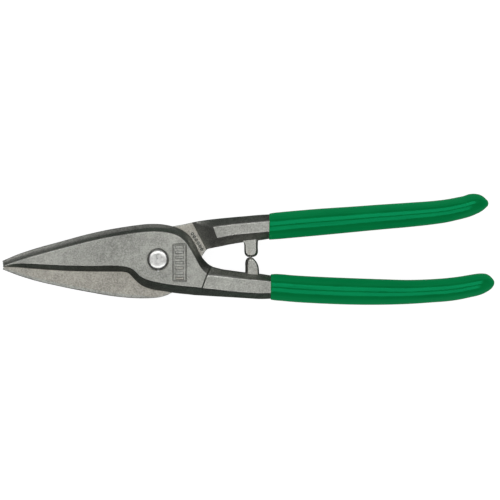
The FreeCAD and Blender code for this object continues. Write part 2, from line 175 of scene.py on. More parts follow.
def filleted(points, radii, steps=4):
    # a closed profile with each corner turned into a parabola that starts at its radius's distance
    points = np.asarray(points, float)
    out = []
    for k in range(len(points)):
        here, before, after = points[k], points[k - 1], points[(k + 1) % len(points)]
        lengthBefore = np.linalg.norm(before - here)
        lengthAfter = np.linalg.norm(after - here)
        reach = min(radii[k], roundingShare * lengthBefore, roundingShare * lengthAfter)
        start = here + (before - here) / lengthBefore * reach
        end = here + (after - here) / lengthAfter * reach
        t = np.linspace(0, 1, steps + 1)[:, None]
        out.append((1 - t) ** 2 * start + 2 * t * (1 - t) * here + t ** 2 * end)
    return np.vstack(out)


def combine(target, tool, operation):
    # target joined with, or cut by, tool; the tool is then removed
    change = target.modifiers.new("combine", "BOOLEAN")
    change.object = tool
    change.operation = operation
    change.solver = "EXACT"
    bpy.context.view_layer.update()
    result = bpy.data.meshes.new_from_object(target.evaluated_get(bpy.context.evaluated_depsgraph_get()))
    target.modifiers.clear()
    target.data = result
    bpy.data.objects.remove(tool)


def withoutSlivers(piece, closer=0.001 * mm):
    # joins points that the cuts left nearly on top of each other
    skin = bmesh.new()
    skin.from_mesh(piece.data)
    bmesh.ops.remove_doubles(skin, verts=skin.verts, dist=closer)
    bmesh.ops.dissolve_degenerate(skin, edges=skin.edges, dist=closer)
    skin.to_mesh(piece.data)
    skin.free()


def standOnShearPlane(piece, rear):
    # a half is drawn from the shear plane, z up to its outer face; the rear one is turned about X
    count = len(piece.data.vertices)
    co = np.empty(count * 3, np.float32)
    piece.data.vertices.foreach_get("co", co)
    co = co.reshape(-1, 3)
    if rear:
        co[:, 1:] *= -1
    co[:, 2] += shearHeight * mm
    piece.data.vertices.foreach_set("co", co.ravel())
    piece.data.update()
    return piece


# The two forged halves. Stations run from the blade's tip to the handle's end. Each has a point on the
# outline towards the back of the blade, on the two long borders of the raised face, and on the outline at
# the cutting edge. Before the foot station the half is flat below; from foot to head its far side rises on
# a slope, up to the two farHead points. farFace gives the far face's borders behind them, and hidden the
# distance and both outlines of the part inside the grip.

frontHalf = {
    "back": [(-86.8, -0.8), (-79.6, 2.3), (-71.3, 5.2), (-54.6, 9.9), (-37.8, 14.4), (-22.0, 17.6),
             (-13.3, 18.9), (-7.5, 19.6), (-1.9, 19.8), (3.4, 19.4), (8.0, 18.4), (12.0, 17.0), (15.6, 14.7),
             (18.4, 11.8), (20.8, 7.9), (22.7, 4.0), (24.6, 0.9), (27.2, -2.0), (29.6, -3.7), (34.6, -5.2),
             (40.2, -6.1), (48.3, -7.2), (57.5, -8.1)],
    "faceBack": [(-85.4, -3.3), (-79.6, -1.4), (-71.3, 1.2), (-54.6, 5.8), (-37.8, 10.1), (-22.0, 13.3),
                 (-13.3, 14.7), (-7.5, 15.3), (-2.0, 15.6), (2.9, 15.3), (7.0, 14.6), (10.6, 13.3),
                 (13.4, 11.4), (15.8, 8.9), (18.0, 5.8), (20.2, 2.0), (22.2, -1.8), (24.4, -5.4),
                 (27.4, -8.1), (32.4, -8.6), (40.2, -9.6), (48.3, -10.8), (57.5, -11.6)],
    "faceEdge": [(-85.4, -3.8), (-79.6, -2.5), (-71.3, -2.5), (-54.6, -3.3), (-37.8, -3.7), (-22.0, -3.6),
                 (-17.6, -4.2), (-15.2, -4.9), (-12.8, -6.5), (-10.2, -9.0), (-6.6, -11.0), (-1.8, -12.4),
                 (3.6, -13.5), (8.6, -14.2), (13.0, -14.7), (16.6, -15.0), (18.8, -15.2), (20.8, -15.4),
                 (24.4, -15.9), (30.6, -16.5), (40.2, -17.7), (48.3, -18.4), (57.5, -18.9)],
    "edge": [(-86.8, -4.1), (-79.6, -4.3), (-71.3, -5.0), (-54.6, -6.2), (-37.8, -6.7), (-23.5, -6.8),
             (-18.9, -7.0), (-16.7, -7.7), (-14.9, -9.3), (-12.2, -12.1), (-8.6, -14.8), (-3.6, -16.6),
             (2.6, -17.6), (8.4, -18.6), (13.4, -19.2), (16.8, -19.5), (18.4, -19.7), (20.0, -19.9),
             (23.6, -20.1), (29.8, -20.5), (40.2, -21.1), (48.3, -21.6), (57.5, -22.1)],
    "farHead": [(33.6, -10.0), (31.2, -17.0)],
    "farFace": [[(40.2, -10.6), (40.2, -17.4)], [(48.3, -11.4), (48.3, -18.2)],
                [(57.5, -11.9), (57.5, -18.7)]],
    "hidden": [(66.0, -9.4, -21.8), (90.3, -10.7, -23.5), (123.8, -12.0, -24.3), (153.9, -11.9, -22.9),
               (174.0, -9.8, -20.2), (180.0, -9.2, -17.6)],
}

rearHalf = {
    "back": [(-86.9, 5.6), (-79.6, 8.4), (-71.3, 11.1), (-54.6, 15.1), (-37.8, 18.4), (-22.0, 20.9),
             (-13.3, 21.6), (-6.6, 21.7), (0.1, 21.2), (4.6, 20.0), (8.6, 17.9), (11.8, 15.5), (14.8, 12.6),
             (17.4, 9.6), (19.9, 6.0), (22.0, 2.2), (24.2, -1.6), (26.8, -5.3), (29.8, -6.3), (34.4, -7.2),
             (40.2, -8.4), (48.3, -9.7), (57.5, -10.8)],
    "faceBack": [(-85.5, 4.3), (-79.6, 4.9), (-71.3, 7.2), (-54.6, 11.0), (-37.8, 14.1), (-22.0, 16.6),
                 (-13.3, 17.3), (-7.0, 17.4), (-1.2, 17.1), (3.2, 16.1), (6.4, 14.5), (9.4, 12.3),
                 (12.2, 9.6), (14.8, 6.6), (17.2, 3.2), (19.6, -0.8), (22.2, -5.0), (25.0, -8.4),
                 (28.0, -10.5), (33.0, -11.4), (40.2, -12.4), (48.3, -13.5), (57.5, -14.5)],
    "faceEdge": [(-85.5, 3.8), (-79.6, 3.1), (-71.3, 2.3), (-54.6, 0.5), (-37.8, -1.0), (-22.0, -2.3),
                 (-17.6, -2.9), (-15.2, -3.6), (-12.8, -5.4), (-10.2, -7.9), (-6.6, -10.4), (-1.8, -12.0),
                 (3.6, -13.3), (8.4, -14.2), (12.0, -15.0), (15.0, -15.6), (17.8, -16.2), (20.6, -16.9),
                 (24.8, -17.9), (30.6, -18.6), (40.2, -19.6), (48.3, -20.3), (57.5, -21.1)],
    "edge": [(-86.9, 2.3), (-79.6, 1.3), (-71.3, 0.0), (-54.6, -2.2), (-37.8, -3.9), (-23.5, -5.2),
             (-18.9, -5.6), (-16.7, -6.4), (-14.9, -8.0), (-12.2, -11.0), (-8.6, -14.0), (-3.6, -16.1),
             (2.6, -17.6), (7.6, -18.4), (11.4, -19.1), (14.2, -19.6), (16.4, -20.1), (18.7, -20.6),
             (23.6, -21.5), (29.4, -22.3), (40.2, -23.4), (48.3, -24.1), (57.5, -24.9)],
    "farHead": [(32.9, -11.9), (30.6, -18.2)],
    "farFace": [[(40.2, -13.3), (40.2, -19.4)], [(48.3, -14.2), (48.3, -20.2)],
                [(57.5, -15.0), (57.5, -21.0)]],
    "hidden": [(66.0, -12.2, -25.3), (90.3, -14.3, -27.4), (123.8, -17.5, -29.6), (153.9, -20.5, -31.8),
               (170.0, -23.8, -34.4), (176.5, -26.6, -34.4)],
}

forging = {
    "footStation": 17, "stepStation": 18, "headStation": 19,
    "bossStations": (5, 20),  # between these the rows lie closest
    "rowCounts": (64, 170, 30, 40),  # along the blade, the boss and slope, the bar, and the hidden part
    "spanSteps": (6, 2, 2, 2, 2, 6), "arcSteps": 6,
    "shearGap": 0.02,  # half the running gap between the blades
    "bossFace": 5.4,  # height of the raised face at the pivot
    "faceSlope": 2.2 / 86.8,  # how fast that face sinks towards the tip
    "barFace": 5.4,
    "land": 1.2,  # upright band on the parting line, away from the blade
    "stepWidth": 1.0,  # length of the step between boss and bar
    "footLedge": 0.05, "groundPast": 0.02,
    "bladeEnd": 6, "bladeFade": 8.0,  # the blade's own shape fades out behind this station
    "bulgeStations": (8, 13),  # the draft's bulge grows between these
    "flatShare": 0.15, "bladeFlatShare": 0.3,  # how far the flat underside's border lies inside the outline
    "hiddenFace": 0.48, "hiddenFar": 0.46,  # half widths of the faces inside the grip, as shares
    "coveShare": 0.52,  # where the draft breaks, from the outline to the face
    "faceRadius": 0.55, "coveRadius": 0.9, "landRadius": 0.35, "underRadius": 0.525,
    "farRadius": 0.7, "sharpRadius": 0.01,
    "neckPast": 2.0, "neckReach": 8.0,  # where the face's border is softest behind the slope
    "sharpAngle": 21.0,
    # land and coveRise hold along the blade: a draft whose break is below half height is hollow
    "backSide": {"outer": "back", "inner": "faceBack", "land": 1.6, "coveRise": 0.28, "bossCoveRise": 0.62,
                 "underRadius": 0.8, "neckSoftness": 2.2},
    "edgeSide": {"outer": "edge", "inner": "faceEdge", "land": 0.8, "coveRise": 0.45, "bossCoveRise": 0.45,
                 "underRadius": 0.06, "neckSoftness": 0.0},
}


def forgedTube(name, half):
    # P(s, w): at each distance s along the half, a cross-section with a flat raised face, a draft that
    # breaks once on its way down, an upright land and a far side; w runs round it, corner by corner
    g = forging
    hidden = np.array(half["hidden"])
    middle = 0.5 * (hidden[:, 1] + hidden[:, 2])
    spread = 0.5 * (hidden[:, 1] - hidden[:, 2])

    def hiddenAt(share):
        return np.stack([hidden[:, 0], middle + share * spread], axis=1)

    shares = {"back": 1.0, "faceBack": g["hiddenFace"], "faceEdge": -g["hiddenFace"], "edge": -1.0}
    outlines = {key: np.vstack([np.array(half[key]), hiddenAt(share)]) for key, share in shares.items()}
    far = np.vstack([np.array([half["farHead"]] + half["farFace"]),
                     np.stack([hiddenAt(g["hiddenFar"]), hiddenAt(-g["hiddenFar"])], axis=1)])
    chord = sum(np.linalg.norm(np.diff(o, axis=0), axis=1) for o in outlines.values()) / 4
    knots = np.concatenate([[0.0], np.cumsum(chord)])
    foot, step, head = (knots[g[k]] for k in ("footStation", "stepStation", "headStation"))
    # rows lie close together round the throat, boss and slope, and further apart along blade and handle
    bossStart, bossEnd = (knots[station] for station in g["bossStations"])
    mouth = knots[len(half["back"]) - 1]
    bladeRows, bossRows, barRows, hiddenRows = g["rowCounts"]
    rows = np.concatenate([np.linspace(0, bossStart, bladeRows, endpoint=False),
                           np.linspace(bossStart, bossEnd, bossRows, endpoint=False),
                           np.linspace(bossEnd, mouth, barRows, endpoint=False),
                           np.linspace(mouth, knots[-1], hiddenRows),
                           [foot, foot + g["footLedge"], head, step],
                           step + g["stepWidth"] * np.linspace(-0.5, 0.5, 7)])
    rows = np.unique(np.round(rows, 4))
    curve = {key: smoothThrough(knots, points, rows) for key, points in outlines.items()}
    beforeFoot = rows < foot
    drop = easeStep((rows - step) / g["stepWidth"] + 0.5)
    rise = np.clip((rows - foot) / (head - foot), 0, 1)
    blade = 1 - easeStep((rows - knots[g["bladeEnd"]]) / g["bladeFade"])
    bulgeStart, bulgeEnd = (knots[station] for station in g["bulgeStations"])
    bulge = easeStep((rows - bulgeStart) / (bulgeEnd - bulgeStart))
    neck = np.exp(-((rows - head - g["neckPast"]) / g["neckReach"]) ** 2) * drop
    farHeight = g["shearGap"] + rise * (-g["barFace"] - g["shearGap"])
    faceMiddle = 0.5 * (curve["faceBack"] + curve["faceEdge"])

    def faceHeight(x):
        return (g["bossFace"] + g["faceSlope"] * x) * (1 - drop) + g["barFace"] * drop

    sides = []
    arcs = []
    for number, own in enumerate((g["backSide"], g["edgeSide"])):
        outline, face = curve[own["outer"]], curve[own["inner"]]
        flatFar = outline + (g["flatShare"] + g["bladeFlatShare"] * blade)[:, None] * (face - outline)
        headFar = np.array(half["farHead"][number])
        footFar = smoothThrough(rows, flatFar, np.array([foot]))[0]
        slopeFar = footFar + rise[:, None] * (headFar - footFar)
        barFar = smoothThrough(knots[g["headStation"]:], far[:, number], np.maximum(rows, head))
        farPoint = np.where((rows < head)[:, None], slopeFar, barFar)
        farPoint = np.where(beforeFoot[:, None], flatFar, farPoint)
        land = g["land"] + (own["land"] - g["land"]) * blade
        top = faceHeight(face[:, 0])
        cove = outline + g["coveShare"] * (face - outline)
        coveRise = own["coveRise"] + (own["bossCoveRise"] - own["coveRise"]) * bulge
        coveRise = 0.5 + (coveRise - 0.5) * (1 - drop)
        corners = np.stack([
            np.column_stack([faceMiddle, faceHeight(faceMiddle[:, 0])]),
            np.column_stack([face, top]),
            np.column_stack([cove, land + coveRise * (top - land)]),
            np.column_stack([outline, land]),
            np.column_stack([outline, np.maximum(farHeight, -g["land"])]),
            np.column_stack([farPoint, farHeight]),
            np.column_stack([0.5 * (curve["back"] + curve["edge"]), farHeight])], axis=1)
        radii = [g["faceRadius"] + own["neckSoftness"] * neck,
                 np.full_like(rows, g["coveRadius"]),
                 g["landRadius"] * (1 + (rows > step)),
                 np.where(beforeFoot, own["underRadius"], g["underRadius"]),
                 np.where(beforeFoot, g["sharpRadius"], g["farRadius"] * np.clip(rise * 4, 0.05, 1))]
        points, arc = roundedSide(corners, radii, g["arcSteps"], g["spanSteps"])
        sides.append(points)
        arcs.append(arc)
    # the far side's middle is the mean of its two borders, so that the slope and the far face are flat
    run = g["spanSteps"][-1]
    border = -1 - run
    farMiddle = 0.5 * (sides[0][:, border] + sides[1][:, border])
    for points in sides:
        start = points[:, border].copy()
        for q in range(1, run + 1):
            points[:, border + q] = start + (farMiddle - start) * q / run
    rings = np.concatenate([sides[0], sides[1][:, -2:0:-1]], axis=1)
    arc = np.concatenate([arcs[0], arcs[1][-2:0:-1]])
    # the arc weight marks the rounded edges, which the steel paints brighter: partly rubbed wear, partly a
    # painted highlight
    wearAndHighlight = np.repeat(arc[None], len(rows), axis=0)
    # the flat underside is ground as far as the foot, from border to border
    below = sides[0].shape[1] - 1
    ground = np.zeros_like(wearAndHighlight)
    ground[:, below - run - 2:below + run + 2] = (rows < foot + g["groundPast"])[:, None]
    return tubePiece(name, rings, {"wearAndHighlight": wearAndHighlight, "ground": ground})


def togetherMesh(name, shells, wearAndHighlight=0.0):
    # several closed skins in one mesh; wear gives all their points one value of the brightening that the
    # steel paints, partly rubbed wear and partly a painted highlight
    starts = np.cumsum([0] + [len(points) for points, _ in shells])
    faces = np.vstack([np.where(f >= 0, f + start, -1)
                       for f, start in zip((outwards(*shell) for shell in shells), starts)])
    points = np.vstack([points for points, _ in shells])
    attributes = {"wearAndHighlight": np.full(len(points), wearAndHighlight), "ground": np.zeros(len(points))}
    return addMesh(name, points, faces, attributes)


def inward(loop):
    # unit normals that point into a closed loop which runs anticlockwise
    along = np.roll(loop, -1, axis=0) - np.roll(loop, 1, axis=0)
    along /= np.linalg.norm(along, axis=1)[:, None]
    return np.column_stack([-along[:, 1], along[:, 0]])


def island(loop, profile, slope=0.0, lean=0.0):
    # each ring is the loop shrunk towards its middle by a step of the profile, at that step's height, which
    # may follow a slope in x; lean shifts the top sideways, so that one flank is steeper than the other
    centre = 0.5 * (loop.min(axis=0) + loop.max(axis=0))
    half = 0.5 * (loop.max(axis=0) - loop.min(axis=0))
    rings = []
    for inset, height in profile:
        ring = centre + (loop - centre) * (1 - inset / half) + np.array([lean * inset, 0.0])
        rings.append(np.column_stack([ring, height + slope * ring[:, 0]]))
    return ringStack(np.array(rings))


def roundedRectangle(x0, x1, y0, y1, radius, steps=5):
    # four quarter circles joined by straight sides
    turn = np.linspace(0, math.pi / 2, steps)
    centres = [(x1 - radius, y1 - radius), (x0 + radius, y1 - radius), (x0 + radius, y0 + radius),
               (x1 - radius, y0 + radius)]
    return np.vstack([np.column_stack([cx + radius * np.cos(turn + q * math.pi / 2),
                                       cy + radius * np.sin(turn + q * math.pi / 2)])
                      for q, (cx, cy) in enumerate(centres)])


def circle(radius, turns):
    angle = np.linspace(0, 2 * math.pi, turns, endpoint=False)
    return radius * np.column_stack([np.cos(angle), np.sin(angle)])


def drum(radius, low, high):
    # a plain closed cylinder, which cuts seats and bores
    return island(circle(radius, 96), [(0.0, low), (0.0, high)])


lugs = {
    # outlines from one side of the lug's root, round its tip, to the other side of the root
    "front": [(48.3, -11.5), (48.35, -8.0), (48.4, -4.5), (48.4, -1.7), (48.7, -0.4), (49.5, 0.7),
              (50.3, 1.1), (51.3, 1.21), (52.3, 1.05), (53.0, 0.6), (53.9, -0.4), (55.1, -2.1),
              (55.85, -4.2), (56.1, -6.4), (56.15, -9.0), (56.2, -11.5)],
    "rear": [(45.4, -12.8), (46.2, -10.5), (47.3, -9.7), (47.75, -8.6), (47.85, -6.5), (47.9, -4.4),
             (48.2, -2.9), (49.1, -1.8), (50.2, -1.35), (51.3, -1.25), (52.7, -1.35), (54.2, -1.9),
             (55.2, -3.0), (55.5, -4.3), (55.4, -6.5), (55.45, -9.0), (55.7, -12.8)],
    # how far each ring is drawn in, and its height over the parting plane
    "flank": [(0.0, 0.0), (0.1, 0.5), (0.33, 1.0), (0.66, 1.43), (0.96, 1.7), (1.22, 1.85), (1.5, 1.9),
              (1.7, 1.9)],
    "lean": {"front": 0.3, "rear": 0.1},
    "outlineSteps": 110, "rootSteps": 10,
}


def lugShell(which):
    # the same flank above and below the parting plane, round a smooth outline closed at the root
    outline = np.array(lugs[which])
    knots = np.concatenate([[0.0], np.cumsum(np.linalg.norm(np.diff(outline, axis=0), axis=1))])
    loop = smoothThrough(knots, outline, np.linspace(0, knots[-1], lugs["outlineSteps"]))
    root = np.linspace(loop[-1], loop[0], lugs["rootSteps"])[1:-1]
    flank = lugs["flank"]
    profile = [(inset, -height) for inset, height in flank[:0:-1]] + flank
    return island(np.vstack([loop, root]), profile, lean=lugs["lean"][which])


seat = {"headRadius": 6.4, "headFloor": 4.0, "nutRadius": 8.6, "nutFloor": 4.4, "bore": 4.05,
        "slotHalf": 0.6, "slotReach": 7.05, "slotRoot": 5.0, "slotCorner": 0.25, "slotFloor": 4.1,
        "cutFrom": -1.0, "cutTo": 9.0}

maker = {
    # a plain panel of bars on the boss, in a raised border
    "panel": (8.5, 15.6, -12.1, 8.45), "corner": 0.8,
    "borderRidge": [(-0.50, -0.4), (-0.44, 0.1), (-0.14, 0.48), (0.14, 0.48), (0.44, 0.1), (0.50, -0.4)],
    # the raised panel is painted brighter all over: partly rubbed wear, partly a painted highlight
    "wearAndHighlight": 0.3, "bars": 7, "barMargin": 1.2, "barInset": 0.35, "barHalf": 0.85, "barCorner": 0.4,
    "barRise": [(-0.06, -0.4), (0.0, 0.05), (0.14, 0.32), (0.36, 0.5)],
    # a row of punched dots on the neck behind the boss
    "dotRow": ((18.9, -14.3), (24.2, -5.7)), "dots": 6, "dotRadius": 0.9, "dotFloor": 0.3, "dotDepth": 0.9,
}


def panelShells():
    # the border is the ridge's profile carried round a rounded rectangle; each bar is an island of its own
    x0, x1, y0, y1 = maker["panel"]
    height = forging["bossFace"]
    slope = forging["faceSlope"]
    border = roundedRectangle(x0, x1, y0, y1, maker["corner"])
    normal = inward(border)
    ridge = []
    for across, rise in maker["borderRidge"]:
        line = border + across * normal
        ridge.append(np.column_stack([line, height + rise + slope * line[:, 0]]))
    ridge = np.stack(ridge, axis=1)
    shells = [(ridge.reshape(-1, 3), gridFaces(*ridge.shape[:2], closed=True))]
    margin = maker["barMargin"]
    inset = margin + maker["barInset"]
    profile = [(across, height + rise) for across, rise in maker["barRise"]]
    for middle in np.linspace(y0 + inset, y1 - inset, maker["bars"]):
        bar = roundedRectangle(x0 + margin, x1 - margin, middle - maker["barHalf"],
                               middle + maker["barHalf"], maker["barCorner"])
        shells.append(island(bar, profile, slope=slope))
    return shells


def dotShells():
    # round pits that narrow towards their floor
    first, last = np.array(maker["dotRow"])
    low = forging["shearGap"]
    loop = circle(maker["dotRadius"], 24)
    taper = [(0.0, seat["cutFrom"]), (0.0, low),
             (maker["dotRadius"] - maker["dotFloor"], low + maker["dotDepth"])]
    return [island(centre + loop, taper) for centre in np.linspace(first, last, maker["dots"])]


def forgedHalf(name, half, rear, lug, cutters, raised=None):
    # the bare forging with its lug, then its seats and bores, then what stands proud of its face
    piece = forgedTube(name, half)
    combine(piece, togetherMesh(name + "Lug", [lugShell(lug)]), "UNION")
    for number, shells in enumerate(cutters):
        combine(piece, togetherMesh(f"{name}Cut{number}", shells), "DIFFERENCE")
    if raised:
        combine(piece, togetherMesh(name + "Raised", raised, maker["wearAndHighlight"]), "UNION")
    withoutSlivers(piece)
    piece.data.set_sharp_from_angle(angle=math.radians(forging["sharpAngle"]))
    return standOnShearPlane(piece, rear)


bore = drum(seat["bore"], seat["cutFrom"], seat["cutTo"])
headSeat = drum(seat["headRadius"], seat["headFloor"], seat["cutTo"])
nutSeat = drum(seat["nutRadius"], seat["nutFloor"], seat["cutTo"])
nibSlot = island(roundedRectangle(-seat["slotHalf"], seat["slotHalf"], -seat["slotReach"], -seat["slotRoot"],
                                  seat["slotCorner"]),
                 [(0.0, seat["slotFloor"]), (0.0, seat["cutTo"])])
frontBlade = forgedHalf("upperBladeHalf", frontHalf, False, "front", [[bore], [headSeat], [nibSlot]],
                        raised=panelShells())
rearBlade = forgedHalf("lowerBladeHalf", rearHalf, True, "rear", [[bore], [nutSeat], dotShells()])
print("stage 2: forged halves", len(frontBlade.data.polygons), len(rearBlade.data.polygons), "faces")

# The dipped grips. Stations along a grip, from its mouth to its end: outline on the side of the other
# grip, outline on the outside, and half thickness.

gripShapes = {
    "lower": {"inner": [(63.0, -8.25), (64.9, -8.1), (68.2, -8.2), (73.6, -8.7), (90.3, -9.7),
                        (107.1, -10.4), (123.8, -11.0), (140.5, -11.4), (153.9, -10.9), (160.6, -10.4),
                        (167.3, -9.6), (174.0, -8.5), (177.6, -7.95), (180.6, -7.8), (183.0, -8.15),
                        (184.9, -9.3), (186.3, -10.8), (187.1, -12.0), (187.3, -12.9)],
              "outer": [(62.9, -22.5), (64.7, -22.8), (68.2, -23.1), (73.6, -23.6), (90.3, -24.6),
                        (107.1, -25.2), (123.8, -25.3), (140.5, -24.8), (153.9, -23.9), (160.6, -23.4),
                        (167.3, -22.5), (174.0, -21.1), (177.6, -20.3), (180.6, -19.3), (183.0, -18.1),
                        (184.9, -16.85), (186.3, -15.4), (187.0, -14.1), (187.3, -12.9)]},
    "upper": {"inner": [(62.0, -11.0), (64.0, -11.1), (68.1, -11.4), (73.6, -11.9), (90.3, -13.4),
                        (107.1, -15.0), (123.8, -16.6), (140.5, -18.1), (153.9, -19.6), (160.6, -20.6),
                        (166.0, -21.8), (170.5, -22.9), (174.0, -23.95), (177.0, -25.2), (179.6, -26.5),
                        (181.6, -27.9), (183.0, -29.3), (183.75, -30.3), (183.95, -31.2)],
              "outer": [(62.2, -25.65), (64.1, -25.95), (68.2, -26.4), (73.6, -26.9), (90.3, -28.3),
                        (107.1, -29.4), (123.8, -30.6), (140.5, -31.7), (153.9, -32.7), (160.6, -33.5),
                        (166.0, -34.5), (170.2, -35.4), (173.2, -36.4), (176.4, -36.6), (179.3, -36.0),
                        (181.4, -34.75), (182.8, -33.4), (183.7, -32.2), (183.95, -31.2)]},
    "halfThickness": [6.35, 6.65, 6.75, 6.8, 6.8, 6.8, 6.8, 6.8, 6.8, 6.75, 6.7, 6.5, 6.2, 5.7, 5.0, 4.0,
                      2.8, 1.5, 0.2],
}

gripSection = {
    "faceShare": 0.50,  # where the face gives way to the bevel, as a share of the half width
    "shoulder": 0.93,  # height there over the half thickness: the face is crowned
    "landHeight": 0.34,  # half height of the rounded side band
    "wall": 0.75, "lipReach": 0.35,
    "openEnd": 3.0,  # the inside stops this far before the end
    "edgeRadius": 1.9, "sideRadius": 2.1,
    "mouthLength": 6.0, "endStation": 9, "rowCounts": (12, 60, 44),
    "arcSteps": 6, "spanSteps": (4, 4, 2, 4, 4), "leastWidth": 0.02,
}


def gripRings(shape, inset):
    # P(s, w): at each distance s a soft octagon between the two outlines, pulled in all round by inset;
    # its corners are centre + side * share * half width, at level * half thickness
    g = gripSection
    inner, outer = np.array(shape["inner"]), np.array(shape["outer"])
    middle = 0.5 * (inner + outer)
    knots = np.concatenate([[0.0], np.cumsum(np.linalg.norm(np.diff(middle, axis=0), axis=1))])
    endStart = knots[g["endStation"]]
    mouthRows, bodyRows, endRows = g["rowCounts"]
    rows = np.concatenate([np.linspace(0, g["mouthLength"], mouthRows, endpoint=False),
                           np.linspace(g["mouthLength"], endStart, bodyRows, endpoint=False),
                           endStart + (knots[-1] - endStart) * np.sin(np.linspace(0, math.pi / 2, endRows))])
    top, bottom = smoothThrough(knots, inner, rows), smoothThrough(knots, outer, rows)
    height = smoothThrough(knots, gripShapes["halfThickness"], rows)[:, 0]
    centre = 0.5 * (top + bottom)
    width = np.linalg.norm(top - bottom, axis=1) / 2
    across = (top - centre) / np.maximum(width, 1e-6)[:, None]
    width = np.maximum(width - inset, g["leastWidth"])
    height = np.maximum(height - inset, g["leastWidth"])
    levels = [(0.0, 1.0), (g["faceShare"], g["shoulder"]), (1.0, g["landHeight"])]
    levels += [(share, -level) for share, level in levels[::-1]]
    radii = [np.full_like(rows, g[k]) for k in ("edgeRadius", "sideRadius", "sideRadius", "edgeRadius")]
    sides = []
    for sign in (1, -1):
        corners = np.stack([np.column_stack([centre + sign * across * (share * width)[:, None],
                                             level * height]) for share, level in levels], axis=1)
        points, _ = roundedSide(corners, radii, g["arcSteps"], g["spanSteps"])
        sides.append(points)
    return np.concatenate([sides[0], sides[1][:, -2:0:-1]], axis=1), rows


def gripPiece(name, shape, rear):
    # an outer skin from mouth to end and an inner skin back again, joined by a rolled lip at the mouth
    g = gripSection
    outerRings, rows = gripRings(shape, 0.0)
    innerRings, _ = gripRings(shape, g["wall"])
    middle = 0.5 * (outerRings[0] + innerRings[0])
    lead = outerRings[0].mean(axis=0) - outerRings[4].mean(axis=0)
    lead /= np.linalg.norm(lead)
    turn = np.linspace(math.pi, 0, 7)[1:-1, None, None]
    lip = middle + (outerRings[0] - middle) * np.cos(turn) + lead * g["lipReach"] * np.sin(turn)
    inside = innerRings[rows < rows[-1] - g["openEnd"]]
    piece = tubePiece(name, np.concatenate([inside[::-1], lip, outerRings]), sharpAngle=60)
    return standOnShearPlane(piece, rear)


lowerGrip = gripPiece("lowerGripCoating", gripShapes["lower"], False)
upperGrip = gripPiece("upperGripCoating", gripShapes["upper"], True)
print("stage 3: grips", len(lowerGrip.data.polygons) + len(upperGrip.data.polygons), "faces")


def heightsOf(cadNode):
    # lowest and highest point and outer radius of a round CAD node, in millimetres
    low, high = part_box(cadNode)
    return low.z / mm, high.z / mm, high.x / mm


bolt = {"shank": 3.98, "undercut": 0.4, "thread": 3.82, "pitch": 1.25, "threadDepth": 0.55,
        "threadEnd": 7.4, "threadRows": 120, "endChamfer": 0.7, "core": 0.02,
        "headRadius": 5.9, "headHeight": 2.6, "headEase": 0.15, "domeRise": 1.6, "domePower": 6.0,
        "nibHalf": 0.5, "nibRoot": 4.6, "nibReach": 6.9, "nibHeight": 0.45, "nibCorner": 0.2,
        "sharpAngle": 50.0}


def boltPiece():
    # dome: z = rim + rise * sqrt(1 - (r / R)^power), flat in the middle and steep at the rim;
    # thread: radius = crest - depth * |triangle wave(z / pitch - turn)|; the profile closes along a
    # hair-thin core on the axis
    g = bolt
    boltTop = heightsOf("pivot_bolt")[1]
    seatHeight = boltTop - g["headHeight"]
    r = g["headRadius"] * np.sin(np.linspace(0.004, math.pi / 2, 30))
    crown = np.sqrt(1 - (r / g["headRadius"]) ** g["domePower"])
    dome = np.column_stack([r, boltTop - g["domeRise"] + g["domeRise"] * crown])
    rim = [[g["headRadius"], seatHeight + g["headEase"]], [g["headRadius"] - g["headEase"], seatHeight]]
    shank = [[g["shank"], seatHeight], [g["shank"], g["threadEnd"] + g["undercut"]]]
    threadZ = np.linspace(g["threadEnd"], 0.05, g["threadRows"])
    thread = np.column_stack([np.full_like(threadZ, g["thread"]), threadZ])
    profile = np.vstack([dome, rim, shank, thread, [[g["core"], 0.0]]])

    def threaded(r, z, angle):
        phase = (z / g["pitch"] - angle / (2 * math.pi)) % 1.0
        groove = g["threadDepth"] * np.abs(2 * phase - 1)
        chamfer = g["thread"] - np.clip(g["endChamfer"] - z, 0, None)
        onThread = (z < g["threadEnd"]) & (r > 1.0)
        return np.where(onThread, np.minimum(r - groove, chamfer), r), z

    piece = lathePiece("pivotBoltTurned", profile, 120, threaded)
    nib = roundedRectangle(-g["nibHalf"], g["nibHalf"], -g["nibReach"], -g["nibRoot"], g["nibCorner"])
    nibShell = island(nib, [(0.0, seatHeight), (0.0, seatHeight + g["nibHeight"])])
    combine(piece, togetherMesh("boltNib", [nibShell]), "UNION")
    piece.data.set_sharp_from_angle(angle=math.radians(g["sharpAngle"]))
    return piece


flatWasher = {"cadNode": "flat_washer", "bore": 4.25, "ease": 0.15}
coneDisc = {"cadNode": "disc_spring", "bore": 4.25, "ease": 0.12, "thickness": 0.6}
lockInsert = {"cadNode": "nut_lock_ring", "bore": 3.88, "ease": 0.12, "outer": 4.86}


def roundPiece(name, cadNode, bore, ease, outer=None, thickness=None, inside=0.05):
    # a ring with all four edges eased, just inside its CAD part; one that is thinner than the part is
    # high is a cone that rises outwards
    low, high, outside = heightsOf(cadNode)
    outer = outer or outside - inside
    thickness = thickness or high - low
    corners = [(bore, low), (outer, high - thickness), (outer, high), (bore, low + thickness)]
    return lathePiece(name, filleted(corners, [ease] * 4))


nut = {
    "flats": 13.0, "bore": 3.9, "cornerRadius": 6.4, "cornerCut": 0.12, "coneAngle": 30.0,
    "coneReach": 0.6, "footInset": 0.3,
    # the collar and its lip: radius, height over the nut's foot, and rounding
    "collar": [(5.85, 1.6, 0.1), (5.85, 0.2, 0.6), (4.95, 0.0, 0.3), (4.45, 0.25, 0.1), (4.45, 0.4, 0.02),
               (4.9, 0.45, 0.02), (4.9, 1.6, 0.02), (3.9, 1.6, 0.02)],
}


